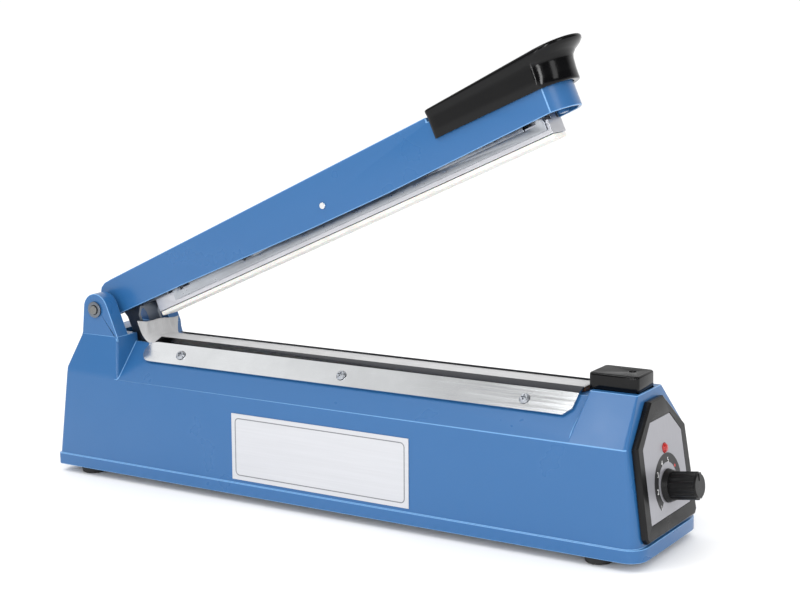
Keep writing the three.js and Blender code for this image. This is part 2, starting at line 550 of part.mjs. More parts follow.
const returnSpring = () => {
  const hook = new THREE.Vector3(SPRING_PIN[0], 0, SPRING_PIN[1]).applyMatrix4(OPEN);
  const end = new THREE.Vector3(ANCHOR[0], 0, ANCHOR[1]);
  const axis = end.clone().sub(hook).normalize();
  const side = new THREE.Vector3(0, 1, 0);
  const up = new THREE.Vector3().crossVectors(axis, side).normalize();
  const length = hook.distanceTo(end);
  const at = (s, r, t) => hook.clone().addScaledVector(axis, s)
    .addScaledVector(side, r * Math.cos(t)).addScaledVector(up, r * Math.sin(t));
  const points = [];
  for (let i = 0; i <= 8; i += 1) {
    const t = Math.PI * (1.15 - i / 8 * 1.15);
    points.push(hook.clone().addScaledVector(axis, -3 * Math.sin(t)).addScaledVector(up, 3 * Math.cos(t)));
  }
  const turns = 11;
  const steps = turns * 10;
  for (let i = 0; i <= steps; i += 1) {
    points.push(at(8 + (length - 16) * i / steps, 4.2, Math.PI / 2 + i / steps * turns * 2 * Math.PI));
  }
  for (let i = 0; i <= 8; i += 1) {
    const t = Math.PI * i / 8 * 1.15;
    points.push(end.clone()
      .addScaledVector(axis, 3.2 * Math.sin(t)).addScaledVector(up, 3.2 * Math.cos(t)));
  }
  const path = new THREE.CatmullRomCurve3(points, false, 'centripetal');
  const wire = new THREE.Shape(arc(0, 0, 0.65, 0, 300, 5).map((p) => new THREE.Vector2(...p)));
  return solid(new THREE.ExtrudeGeometry(wire, { steps: 170, extrudePath: path, bevelEnabled: false }));
};
add('return_spring', returnSpring(), STEEL);

// ---- rocking press bar --------------------------------------------------
const channelSection = [
  [-10, -13], [-8.8, -13], [-8.8, 4.6], [8.8, 4.6], [8.8, -13], [10, -13], [10, 5.8], [-10, 5.8],
];
addArm('press_channel', cut(prismX(channelSection, CHANNEL_START, CHANNEL_END),
  cylY(ROCKER_X, ROCKER_Z, 1.6, -30, 30),
  ...[52, 110, 260, 330].map((x) => box(x, x + 9, -30, 30, -8.4, -4))), DARK_STEEL);
addArm('press_bar', cut(prismX([
  [-8, -15.6], [8, -15.6], [8, -7], [3.4, -7], [3.4, 4.2], [-3.4, 4.2], [-3.4, -7], [-8, -7],
], BAR_START, BAR_END), box(0, CHANNEL_START + 1, -20, 20, -7, 10),
cylY(ROCKER_X, ROCKER_Z, 1.6, -30, 30)), ALU);
addArm('silicone_strip', prismX([
  [-7, -18.1], [-6.2, -18.6], [6.2, -18.6], [7, -18.1], [7, -15.9], [-7, -15.9],
], BAR_START, BAR_END), SILICONE);
addArm('rocker_pin', join(cylY(ROCKER_X, ROCKER_Z, 1.5, -17.2, 17.2, 20),
  cylY(ROCKER_X, ROCKER_Z, 2, -17.8, -17.15, 20), cylY(ROCKER_X, ROCKER_Z, 2, 17.15, 17.8, 20)), BRIGHT);

export default group;
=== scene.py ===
"""Looks of a hand-lever impulse heat sealer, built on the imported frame. Metres, +Z up.

Layout sizes are in millimetres from the left end of the rim (x), the middle (y) and the
rim's bottom face (z); arm sizes run along (u), over (y) and across (w) the arm.
"""
import math
import bmesh
import bpy
from mathutils import Matrix, Vector
from mathutils.geometry import intersect_point_line
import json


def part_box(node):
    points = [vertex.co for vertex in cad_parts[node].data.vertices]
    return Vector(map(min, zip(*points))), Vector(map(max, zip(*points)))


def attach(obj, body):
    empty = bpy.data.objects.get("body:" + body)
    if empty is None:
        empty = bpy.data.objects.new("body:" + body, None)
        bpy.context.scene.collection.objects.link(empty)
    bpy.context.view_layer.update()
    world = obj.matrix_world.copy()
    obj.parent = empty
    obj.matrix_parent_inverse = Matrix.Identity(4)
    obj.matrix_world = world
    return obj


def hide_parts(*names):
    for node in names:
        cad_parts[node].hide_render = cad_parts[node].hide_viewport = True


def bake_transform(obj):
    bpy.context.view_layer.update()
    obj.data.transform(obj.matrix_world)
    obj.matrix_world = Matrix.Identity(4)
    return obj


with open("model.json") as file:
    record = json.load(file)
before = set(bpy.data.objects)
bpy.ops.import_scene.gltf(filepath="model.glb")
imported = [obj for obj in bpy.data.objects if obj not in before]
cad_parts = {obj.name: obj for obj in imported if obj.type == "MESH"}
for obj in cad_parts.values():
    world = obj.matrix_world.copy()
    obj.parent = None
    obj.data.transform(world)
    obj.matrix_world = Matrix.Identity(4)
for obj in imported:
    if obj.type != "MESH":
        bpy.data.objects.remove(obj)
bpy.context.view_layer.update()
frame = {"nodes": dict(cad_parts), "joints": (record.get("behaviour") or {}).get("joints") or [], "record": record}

# ---- the frame's own places ---------------------------------------------------------
MM = 0.001
PIVOT_X = 34.0
PIVOT_Z = 107.0
PIN_U = -4.07
PIN_W = 0.65
OPEN_DEG = 23.1
END_X = 428.9
END_SLOPE = 0.134
LEAN = math.hypot(1, END_SLOPE)
JOINTS = {j["name"]: j for j in frame["joints"]}
PIVOT = Vector(JOINTS["arm_hinge"]["pos_m"])
LAYOUT = Matrix.Translation(PIVOT - Vector((PIVOT_X, 0, PIVOT_Z)) * MM)
ARM = (Matrix.Translation(PIVOT) @ Matrix.Rotation(-math.radians(OPEN_DEG), 4, "Y")
       @ Matrix.Translation(Vector((-PIN_U, 0, -PIN_W)) * MM))


def place(x, y, z):
    """Layout millimetres to the frame's metres."""
    return LAYOUT @ (Vector((x, y, z)) * MM)


def arm_place(u, y, w):
    """Arm millimetres to the frame's metres with the arm open."""
    return ARM @ (Vector((u, y, w)) * MM)


def panel_place(x, y, z):
    """Millimetres across, up and out of the leaning end face to the frame's metres."""
    return place(END_X + (z - END_SLOPE * y) / LEAN, x, (y + END_SLOPE * z) / LEAN)


# ---- camera -------------------------------------------------------------------------
def add_camera():
    azimuth, elevation, roll = (math.radians(a) for a in (33.37, 10.51, -1.55))
    distance = 1.0238
    focal_mm = 76.57
    target = place(253.2, 0, 127.6)
    back = Vector((math.cos(elevation) * math.sin(azimuth),
                   -math.cos(elevation) * math.cos(azimuth), math.sin(elevation)))
    right = Vector((math.cos(azimuth), math.sin(azimuth), 0))
    up = back.cross(right)
    right, up = (right * math.cos(roll) + up * math.sin(roll),
                 up * math.cos(roll) - right * math.sin(roll))
    data = bpy.data.cameras.new("camera")
    data.sensor_width = 36
    data.lens = focal_mm
    data.clip_start = 0.01
    camera = bpy.data.objects.new("camera", data)
    camera.matrix_world = Matrix.Translation(target + back * distance) @ Matrix(
        (right, up, back)).transposed().to_4x4()
    bpy.context.scene.collection.objects.link(camera)
    bpy.context.scene.camera = camera


add_camera()


# ---- materials ----------------------------------------------------------------------
def srgb(*rgb):
    """0 to 255 sRGB to linear RGBA."""
    def linear(c):
        c /= 255
        return c / 12.92 if c <= 0.04045 else ((c + 0.055) / 1.055) ** 2.4
    return (*[linear(c) for c in rgb], 1.0)


class Nodes:
    """A principled material with a few helpers for its colour, roughness and bump."""

    def __init__(self, name, color, roughness, metallic=0.0, **fixed):
        self.material = bpy.data.materials.new(name)
        self.material.use_nodes = True
        self.tree = self.material.node_tree
        self.shader = self.tree.nodes["Principled BSDF"]
        self.color = color
        self.shader.inputs["Base Color"].default_value = color
        self.shader.inputs["Roughness"].default_value = roughness
        self.shader.inputs["Metallic"].default_value = metallic
        for socket, value in fixed.items():
            self.shader.inputs[socket.replace("_", " ")].default_value = value
        self.material.diffuse_color = color
        self.height = None

    def link(self, a, b):
        self.tree.links.new(a, b)

    def coordinates(self, stretch=(1, 1, 1), turn=(0, 0, 0)):
        """Object coordinates, stretched so that a pattern runs along an axis."""
        where = self.tree.nodes.new("ShaderNodeTexCoord")
        mapping = self.tree.nodes.new("ShaderNodeMapping")
        mapping.inputs["Scale"].default_value = stretch
        mapping.inputs["Rotation"].default_value = turn
        self.link(where.outputs["Object"], mapping.inputs["Vector"])
        return mapping.outputs["Vector"]

    def noise(self, scale, detail=3.0, roughness=0.55, where=None):
        node = self.tree.nodes.new("ShaderNodeTexNoise")
        node.inputs["Scale"].default_value = scale
        node.inputs["Detail"].default_value = detail
        node.inputs["Roughness"].default_value = roughness
        self.link(where or self.coordinates(), node.inputs["Vector"])
        return node.outputs["Fac"]

    def ramp(self, value, low, high, out_low, out_high):
        node = self.tree.nodes.new("ShaderNodeMapRange")
        for socket, number in (("From Min", low), ("From Max", high),
                               ("To Min", out_low), ("To Max", out_high)):
            node.inputs[socket].default_value = number
        self.link(value, node.inputs["Value"])
        return node.outputs["Result"]

    def tint(self, factor, other):
        """Mixes the base colour towards another by a factor."""
        mix = self.tree.nodes.new("ShaderNodeMix")
        mix.data_type = "RGBA"
        mix.inputs[7].default_value = other
        source = self.shader.inputs["Base Color"]
        if source.links:
            self.link(source.links[0].from_socket, mix.inputs[6])
        else:
            mix.inputs[6].default_value = self.color
        self.link(factor, mix.inputs[0])
        self.link(mix.outputs[2], source)

    def roughen(self, value):
        self.link(value, self.shader.inputs["Roughness"])

    def bump(self, value, distance, strength=1.0):
        node = self.tree.nodes.new("ShaderNodeBump")
        node.inputs["Distance"].default_value = distance
        node.inputs["Strength"].default_value = strength
        self.link(value, node.inputs["Height"])
        if self.height:
            self.link(self.height, node.inputs["Normal"])
        self.height = node.outputs["Normal"]
        self.link(self.height, self.shader.inputs["Normal"])


def scaled(color, factor, lift=0.0):
    """A colour made darker or lighter, its alpha left at one."""
    return (*[min(1, c * factor + lift) for c in color[:3]], 1.0)


def paint(name="body_paint", color=srgb(42, 95, 147)):
    m = Nodes(name, color, 0.34, Coat_Weight=0.2, Coat_Roughness=0.16, Specular_IOR_Level=0.4)
    m.tint(m.ramp(m.noise(9, 3), 0.35, 0.7, 0, 0.10), scaled(color, 0.88))
    m.roughen(m.ramp(m.noise(36, 3), 0.3, 0.7, 0.26, 0.38))
    m.bump(m.noise(900, 2), 0.00005, 0.35)
    m.bump(m.noise(110, 2), 0.0001, 0.12)
    return m.material


def moulded(name, color, roughness, grain=1400.0, sheen=(58, 58, 60), gloss=0.3):
    m = Nodes(name, color, roughness, Specular_IOR_Level=gloss)
    m.tint(m.ramp(m.noise(60, 4), 0.4, 0.75, 0, 0.35), srgb(*sheen))
    m.roughen(m.ramp(m.noise(90, 3), 0.3, 0.7, roughness - 0.06, roughness + 0.08))
    m.bump(m.noise(grain, 2), 0.00004, 0.3)
    return m.material


def rubber():
    m = Nodes("rubber", srgb(30, 30, 31), 0.78)
    m.tint(m.ramp(m.noise(120, 4), 0.4, 0.7, 0, 0.4), srgb(58, 57, 56))
    m.bump(m.noise(1100, 3), 0.00008, 0.6)
    return m.material


def metal(name, color, roughness, brush=(1, 1, 1), strength=0.25, spread=0.08):
    m = Nodes(name, color, roughness, 1.0)
    lines = m.noise(260, 3, 0.6, m.coordinates(brush))
    m.roughen(m.ramp(lines, 0.25, 0.75, max(0.03, roughness - spread), roughness + spread))
    m.bump(lines, 0.00003, strength)
    m.tint(m.ramp(m.noise(40, 4), 0.4, 0.75, 0, 0.5), scaled(color, 0.8))
    return m.material


def silicone():
    m = Nodes("silicone", srgb(226, 225, 220), 0.55, Subsurface_Weight=0.15, Subsurface_Scale=0.002)
    m.tint(m.ramp(m.noise(70, 4), 0.45, 0.75, 0, 0.5), srgb(206, 203, 195))
    m.bump(m.noise(1500, 2), 0.00004, 0.5)
    return m.material


def weave(m, pitch, depth, strength):
    """Over-and-under threads of a glass cloth, from two crossed waves."""
    where = m.coordinates()
    threads = []
    for axis in ("X", "Y"):
        wave = m.tree.nodes.new("ShaderNodeTexWave")
        wave.bands_direction = axis
        wave.inputs["Scale"].default_value = 1 / (pitch * 20)
        m.link(where, wave.inputs["Vector"])
        threads.append(wave.outputs["Fac"])
    both = m.tree.nodes.new("ShaderNodeMath")
    both.operation = "MULTIPLY"
    m.link(threads[0], both.inputs[0])
    m.link(threads[1], both.inputs[1])
    m.bump(both.outputs[0], depth, strength)
    return both.outputs[0]


def cloth_material():
    m = Nodes("ptfe", srgb(188, 188, 189), 0.36, Sheen_Weight=0.12)
    threads = weave(m, 0.00026, 0.00003, 0.45)
    m.tint(m.ramp(threads, 0.1, 0.9, 0.22, 0), srgb(160, 160, 161))
    m.tint(m.ramp(m.noise(38, 4), 0.42, 0.72, 0, 0.4), srgb(164, 163, 163))
    m.roughen(m.ramp(m.noise(80, 3), 0.3, 0.7, 0.28, 0.46))
    m.bump(m.noise(70, 3), 0.0005, 0.22)
    return m.material


def laminate():
    m = Nodes("bakelite", srgb(92, 62, 40), 0.5)
    m.tint(m.ramp(m.noise(30, 5, 0.6, m.coordinates((0.2, 6, 6))), 0.4, 0.7, 0, 0.7), srgb(60, 38, 24))
    m.bump(m.noise(600, 3), 0.00006, 0.5)
    return m.material


def film(name, color, brush):
    m = Nodes(name, color, 0.38, 0.25)
    lines = m.noise(300, 3, 0.6, m.coordinates(brush))
    m.tint(m.ramp(lines, 0.3, 0.7, 0, 0.3), scaled(color, 0.82))
    m.bump(lines, 0.00002, 0.3)
    return m.material


def board():
    m = Nodes("board", srgb(46, 108, 64), 0.45, Coat_Weight=0.4)
    m.tint(m.ramp(m.noise(90, 2), 0.52, 0.56, 0, 0.6), srgb(32, 84, 48))
    m.bump(m.noise(260, 2), 0.00005, 0.5)
    return m.material


def winding():
    m = Nodes("winding", srgb(206, 168, 74), 0.42)
    wraps = m.noise(200, 3, 0.6, m.coordinates((0.1, 0.1, 4)))
    m.tint(m.ramp(wraps, 0.4, 0.65, 0, 0.6), srgb(164, 120, 44))
    m.bump(wraps, 0.0002, 0.6)
    return m.material


def laminations():
    m = Nodes("laminations", srgb(112, 116, 120), 0.5, 0.7)
    sheets = m.noise(300, 2, 0.5, m.coordinates((0.02, 6, 0.02)))
    m.tint(m.ramp(sheets, 0.4, 0.6, 0, 0.7), srgb(64, 66, 70))
    m.bump(sheets, 0.0002, 0.6)
    return m.material


def lens():
    m = Nodes("lamp_red", srgb(196, 30, 26), 0.12, Transmission_Weight=0.25, Coat_Weight=0.5)
    m.tint(m.ramp(m.noise(500, 2), 0.4, 0.7, 0, 0.5), srgb(140, 12, 14))
    m.bump(m.noise(700, 1), 0.0001, 0.3)
    return m.material


def ink(name, color):
    m = Nodes(name, color, 0.5)
    m.tint(m.ramp(m.noise(800, 3), 0.45, 0.75, 0, 0.25), scaled(color, 1.8, 0.02))
    m.bump(m.noise(1600, 2), 0.00001, 0.4)
    return m.material


ALONG = (0.05, 3, 3)
MATERIALS = {
    "body_paint": paint(),
    "black_plastic": moulded("black_plastic", srgb(15, 15, 16), 0.3, sheen=(21, 21, 22), gloss=0.24),
    "rubber": rubber(),
    "zinc_steel": metal("zinc_steel", srgb(176, 180, 186), 0.32),
    "bright_steel": metal("bright_steel", srgb(226, 228, 230), 0.13, ALONG, 0.12, spread=0.05),
    "dark_steel": metal("dark_steel", srgb(120, 126, 134), 0.36, ALONG, 0.3),
    "aluminium": metal("aluminium", srgb(206, 207, 212), 0.34, ALONG, 0.3),
    "silicone": silicone(),
    "ptfe": cloth_material(),
    "bakelite": laminate(),
    "brass": metal("brass", srgb(196, 158, 84), 0.3),
    "label": film("label", srgb(155, 155, 161), (3, 3, 0.05)),
    "board": board(),
    "winding": winding(),
    "laminations": laminations(),
    "lamp_red": lens(),
    "relay_plastic": moulded("relay_plastic", srgb(40, 84, 148), 0.3, sheen=(60, 110, 170)),
}
# A lighter blue for the eased edges of the painted parts: a painted highlight along each edge.
EDGE_HIGHLIGHT_PAINT = paint("painted_edge_highlight", srgb(104, 152, 200))
HANDLE_GLOSS = moulded("handle_gloss", srgb(6, 6, 7), 0.13, 700.0, (9, 9, 10), 0.24)
BUTTON_TOP = moulded("button_top", srgb(6, 6, 7), 0.2, 700.0, (9, 9, 10), 0.03)
PIN_STEEL = metal("pin_steel", srgb(128, 128, 126), 0.3)
# A dark steel for the clamp plates' top flange: painted dark reflection in the polished flange.
LIP_PAINTED_REFLECTION = metal("lip_painted_dark_reflection", srgb(74, 75, 79), 0.2, ALONG, 0.15)
STICKER = film("sticker_film", srgb(198, 199, 203), (0.05, 3, 3))
INK = ink("ink_black", srgb(34, 34, 36))
INK_GREY = ink("ink_grey", srgb(120, 122, 126))
WHITE_INK = ink("ink_white", srgb(226, 226, 226))
RED_INK = ink("ink_red", srgb(196, 40, 34))

OWN_FINISH = {"rating_label": STICKER, "hinge_pin": PIN_STEEL, "arm_handle": HANDLE_GLOSS,
              "switch_button": HANDLE_GLOSS}
NODE_SLOTS = {s["node"]: s["material_slot"] for s in frame["record"]["subparts"]}
BODY_OF = {node: body for body, nodes in frame["record"]["behaviour"]["bodies"].items() for node in nodes}

for node, obj in frame["nodes"].items():
    obj.data.materials.clear()
    obj.data.materials.append(OWN_FINISH.get(node, MATERIALS[NODE_SLOTS[node]]))


# ---- mesh helpers -------------------------------------------------------------------
def new_object(name, mesh, material):
    obj = bpy.data.objects.new(name, mesh)
    mesh.materials.clear()
    mesh.materials.append(material)
    bpy.context.scene.collection.objects.link(obj)
    return obj


LEAST_FOLD = 0.05
BLUNT_WEIGHT = 0.4


def shade(obj, angle=35, crease=None, plain=None):
    """Smooth faces; edges sharper than the angle, or picked by crease, are kept and marked for rounding.

    Blunt edges picked by crease are rounded less. Edges picked by plain, such as a hole's rim or
    what lies out of sight, are kept but not rounded.
    """
    bm = bmesh.new()
    bm.from_mesh(obj.data)
    weight = bm.edges.layers.float.new("bevel_weight_edge")
    for face in bm.faces:
        face.smooth = True
    for edge in bm.edges:
        fold = edge.calc_face_angle(0) if len(edge.link_faces) == 2 else math.pi
        sharp = fold >= math.radians(angle)
        kept = sharp or (crease is not None and fold > LEAST_FOLD and crease(edge))
        edge.smooth = not kept
        if kept and not (plain is not None and plain(edge)):
            edge[weight] = 1.0 if sharp else BLUNT_WEIGHT
    bm.to_mesh(obj.data)
    bm.free()


def bevel(obj, width, segments=3, strip=None, clamp=True):
    modifier = obj.modifiers.new("rounded_edges", "BEVEL")
    modifier.width = width * MM
    modifier.segments = segments
    modifier.limit_method = "WEIGHT"
    modifier.harden_normals = True
    modifier.use_clamp_overlap = clamp
    modifier.miter_outer = "MITER_ARC"
    # A given strip material goes on the eased edges; for the paint it is a painted highlight.
    if strip:
        obj.data.materials.append(strip)
        modifier.material = 1


def stand_for(obj, *nodes):
    """obj takes the place and body of the nodes that it replaces, which are hidden."""
    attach(obj, BODY_OF[nodes[0]])
    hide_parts(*nodes)


def clean_copy(node, name, flat_deg=0.7):
    """A copy of a node's mesh with its coplanar triangles joined into whole faces."""
    source = frame["nodes"][node]
    bm = bmesh.new()
    bm.from_mesh(source.data)
    bm.transform(source.matrix_world)
    bmesh.ops.remove_doubles(bm, verts=bm.verts, dist=1e-6)
    bmesh.ops.dissolve_limit(bm, angle_limit=math.radians(flat_deg), verts=bm.verts, edges=bm.edges)
    mesh = bpy.data.meshes.new(name)
    bm.to_mesh(mesh)
    bm.free()
    return new_object(name, mesh, OWN_FINISH.get(node, MATERIALS[NODE_SLOTS[node]]))


def rounded_copy(node, width, segments=3, angle=30, strip=None, crease=None, plain=None, clamp=True):
    """Replaces a node by the same shape with its edges eased; strip is the material of the eased edges, for the
    paint a lighter blue that is a painted highlight.
    """
    obj = clean_copy(node, node + "_looks")
    shade(obj, angle, crease, plain)
    bevel(obj, width, segments, strip, clamp)
    stand_for(obj, node)
    return obj


def grid_object(name, rows, material, closed_rows=False, to_place=place, smooth=True):
    """A quad surface through rows of points in layout or arm millimetres."""
    bm = bmesh.new()
    verts = [[bm.verts.new(to_place(*p)) for p in row] for row in rows]
    width = len(rows[0])
    for a, b in zip(verts, verts[1:]):
        for j in range(width if closed_rows else width - 1):
            k = (j + 1) % width
            bm.faces.new((a[j], b[j], b[k], a[k]))
    for face in bm.faces:
        face.smooth = smooth
    bmesh.ops.recalc_face_normals(bm, faces=bm.faces)
    mesh = bpy.data.meshes.new(name)
    bm.to_mesh(mesh)
    bm.free()
    return new_object(name, mesh, material)


def arc(cx, cy, radius, start, end, count):
    """Points on an arc, angles in degrees."""
    steps = [math.radians(start + (end - start) * i / count) for i in range(count + 1)]
    return [(cx + radius * math.cos(a), cy + radius * math.sin(a)) for a in steps]


# ---- pieces whose CAD shape is right, with eased edges ------------------------------
TOWER_TOP = place(0, 0, 90).z
LIP_FOOT = place(0, 0, 84.6).z


PIN_HOLE_REACH = 4.5 * MM


def on_pin_hole(edge):
    return all(math.hypot(v.co.x - PIVOT.x, v.co.z - PIVOT.z) < PIN_HOLE_REACH for v in edge.verts)


def faces_in(edge, start, end, floor):
    """Whether an edge's faces all look in towards the line from start to end, or down above a floor."""
    for face in edge.link_faces:
        centre = face.calc_center_median()
        if face.normal.z < -0.9 and centre.z > floor:
            continue
        t = intersect_point_line(centre, start, end)[1]
        nearest = start.lerp(end, min(1.0, max(0.0, t)))
        if face.normal.dot(centre - nearest) >= 0:
            return False
    return True


def under_button(edge):
    low, high = place(378, -14, 75), place(418, 14, 86)
    return all(low[i] < v.co[i] < high[i] for v in edge.verts for i in range(3))


def plain_on_base(edge):
    return on_pin_hole(edge) or under_button(edge) or faces_in(
        edge, place(60, 0, 40), place(400, 0, 40), place(0, 0, 1).z)


def plain_on_arm(edge):
    return on_pin_hole(edge) or faces_in(edge, arm_place(20, 0, 0), arm_place(350, 0, 0), math.inf)


def on_tower_top(edge):
    return all(abs(v.co.z - TOWER_TOP) < 1e-4 for v in edge.verts)


def eased_pieces():
    # The eased edges of the housing and arm get the lighter blue, a painted highlight.
    rounded_copy("base_housing", 0.4, 3, 24, EDGE_HIGHLIGHT_PAINT, on_tower_top, plain_on_base, False)
    rounded_copy("arm_shell", 0.45, 3, 24, EDGE_HIGHLIGHT_PAINT, plain=plain_on_arm, clamp=False)
    rounded_copy("panel_bezel", 0.9, 4, 28)
    for node in ("press_channel", "press_bar", "silicone_strip", "lever_bracket", "switch_striker"):
        rounded_copy(node, 0.35, 2, 40)
    for corner in ("front_left", "front_right", "rear_left", "rear_right"):
        rounded_copy("foot_" + corner, 0.8, 3, 40)
    for side in ("front", "rear"):
        rounded_copy("pin_clip_" + side, 0.35, 2, 40)
        rounded_copy("hinge_spacer_" + side, 0.4, 2, 40)
        plate = rounded_copy("clamp_plate_" + side, 0.25, 2, 30)
        # Faces above the lip's foot that don't face along x take the dark steel, a painted dark reflection.
        plate.data.materials.append(LIP_PAINTED_REFLECTION)
        for face in plate.data.polygons:
            if face.center.z > LIP_FOOT and abs(face.normal.x) < 0.5:
                face.material_index = 1
        for i in (1, 2, 3):
            rounded_copy(f"clamp_screw_{side}_{i}", 0.25, 2, 40)
    for node in ("hinge_pin", "rocker_pin", "cord_inlet", "knob"):
        rounded_copy(node, 0.4, 3, 32)


eased_pieces()


# ---- handle -------------------------------------------------------------------------
HANDLE_START = 279.0
SKIRT_TOP = 19.5


def handle_outline(half, nose, tip, inset=0.0):
    """Plan of the handle: square at the back with eased corners, one flat arc at the nose."""
    corner = 3.0
    drop = tip - nose
    radius = (half * half + drop * drop) / (2 * drop)
    spread = math.degrees(math.asin(half / radius))
    back = HANDLE_START + inset
    sides = [HANDLE_START + 6 + (nose - HANDLE_START - 8) * i / 8 for i in range(9)]
    shoulder = arc(tip - radius, 0, radius, -spread, spread, 28)
    points = arc(back + corner, -half + corner, corner, 180, 270, 4)
    points += [(u, -half) for u in sides] + shoulder + [(u, half) for u in reversed(sides)]
    points += arc(back + corner, half - corner, corner, 90, 180, 4)
    return points + [(back, half - corner - 2 * (half - corner) * i / 7) for i in range(1, 7)]


def top_height(u):
    return 25.2 + 4.7 * (u - HANDLE_START) / 92


def skirt_rows():
    """The straight lower part: inside, round the bottom edge and up: half width, tip, height."""
    straight_nose = 354
    skirt = ((17.5, 363.4, 15), (17.5, 363.4, 8.4), (17.9, 365, 8.0), (18.8, 367, 8.05),
             (19, 367.4, 8.5), (19, 367.6, 14), (19, 368.2, SKIRT_TOP))
    return [[(u, y, w) for u, y in handle_outline(half, straight_nose, tip)] for half, tip, w in skirt]


def flare_rows():
    """The nose flares out towards the top: half width, nose, tip, share of the way up."""
    flare = ((19.0, 354, 369.0, 0.25), (19.2, 356, 371.4, 0.48), (19.5, 358.5, 375.2, 0.66),
             (19.7, 360, 377.1, 0.82), (19.6, 360, 377.4, 0.93), (19.2, 359.4, 377.0, 1.0))
    rows = []
    for half, nose, tip, part in flare:
        rows.append([(u, y, SKIRT_TOP + (top_height(u) - SKIRT_TOP) * part)
                     for u, y in handle_outline(half, nose, tip)])
    return rows


def crown_rows():
    """A groove inside the rim, then a gentle crown up to the spine: share of the way in, rise."""
    crown = ((0.02, 0.28), (0.09, 0.3), (0.12, 0.05), (0.2, 0.25), (0.4, 1.0), (0.65, 1.6),
             (0.85, 1.9), (1.0, 1.95))
    rows = []
    for inset, rise in crown:
        row = []
        for u, y in handle_outline(19.0, 359, 376.6):
            spine = min(max(u, HANDLE_START + 17), 352)
            along = u + (spine - u) * inset
            row.append((along, y * (1 - inset), top_height(along) + rise))
        rows.append(row)
    return rows


def make_handle():
    rows = skirt_rows() + flare_rows() + crown_rows()
    handle = grid_object("handle_shell", rows, HANDLE_GLOSS, closed_rows=True, to_place=arm_place)
    shade(handle, 50)
    stand_for(handle, "arm_handle")


make_handle()


# ---- push button --------------------------------------------------------------------
BUTTON_MIDDLE = (399.95, 0)
BUTTON_HALF = (15.25, 11.1)
BUTTON_EASE = 1.35
HOLE_MIDDLE = (406.5, 0.5)


def block_outline(middle, half, radius, z):
    """A rounded rectangle at a height; equal halves and radius make it a circle."""
    points = []
    for start, sign_x, sign_y in ((0, 1, 1), (90, -1, 1), (180, -1, -1), (270, 1, -1)):
        x = middle[0] + sign_x * (half[0] - radius)
        y = middle[1] + sign_y * (half[1] - radius)
        points += [(px, py, z) for px, py in arc(x, y, radius, start + 5, start + 85, 8)]
    return points


def make_button():
    """The foot, the head with its top edge eased, and a blind hole in the top."""
    def head(inset, z):
        return block_outline(BUTTON_MIDDLE, [h - inset for h in BUTTON_HALF], 2.7 - inset, z)

    def hole(radius, z):
        return block_outline(HOLE_MIDDLE, (radius, radius), radius, z)

    foot = (402, 0)
    rows = [block_outline(foot, (0.1, 0.1), 0.1, 74.6)]
    rows += [block_outline(foot, (8, 5), 0.4, z) for z in (74.6, 87)]
    rows += [head(inset, z) for inset, z in ((0.3, 87), (0, 87.3), (0, 91.5), (0, 95.6))]
    for degrees in range(15, 91, 15):
        a = math.radians(degrees)
        rows.append(head(BUTTON_EASE * (1 - math.cos(a)), 95.75 + BUTTON_EASE * math.sin(a)))
    rows.append(head(BUTTON_EASE + 0.2, 97.1))
    bore = ((2.5, 97.1), (2.32, 97.06), (2.2, 96.9), (2.2, 95.4), (0.05, 95.4))
    rows += [hole(radius, z) for radius, z in bore]
    button = grid_object("button_head", rows, HANDLE_GLOSS, closed_rows=True)
    button.data.materials.append(BUTTON_TOP)
    for face in button.data.polygons:
        face.material_index = int(face.normal.z > 0.999)
    shade(button, 50)
    stand_for(button, "switch_button")


make_button()


# ---- cloth --------------------------------------------------------------------------
CREASE = (37.4, 62.5)
DECK = (14.6, 84.3)
SLOPE = math.atan2(DECK[1] - CREASE[1], CREASE[0] - DECK[0])
CLOTH_START = 65.2
CLOTH_END = 380.5
CLOTH_EDGE = 97.0
WAVE_HALF_W = 7


def resample(points, count):
    """Points evenly spaced along a polyline."""
    lengths = [math.dist(a, b) for a, b in zip(points, points[1:])]
    total = sum(lengths)
    result = []
    for i in range(count):
        rest = total * i / (count - 1)
        k = 0
        while k < len(lengths) - 1 and rest > lengths[k]:
            rest -= lengths[k]
            k += 1
        t = min(1.0, rest / lengths[k])
        result.append(tuple(p + (q - p) * t for p, q in zip(points[k], points[k + 1])))
    return result


def cloth_section(reach=99.0, count=53):
    """Half width, then mirrored; reach limits how far from the middle the section goes."""
    lift_y = math.sin(SLOPE) * 0.35
    lift_z = math.cos(SLOPE) * 0.35
    half = [(0, 87.1), (4, 87.1), (8.4, 87.05), (11.6, 86.1), (DECK[0] + lift_y - 0.2, DECK[1] + lift_z),
            (DECK[0] + 7.2 + lift_y, DECK[1] - 7.2 * math.tan(SLOPE) + lift_z)]
    fine = resample(half, 200)
    length = sum(math.dist(a, b) for a, b in zip(half, half[1:]))
    half = fine[:max(2, int(200 * min(1.0, reach / length)))]
    points = resample([(-y, z) for y, z in half[:0:-1]] + half, count)
    for _ in range(2):
        points = [points[0]] + [tuple((a + 2 * b + c) / 4 for a, b, c in zip(p, q, r))
                                for p, q, r in zip(points, points[1:], points[2:])] + [points[-1]]
    return points


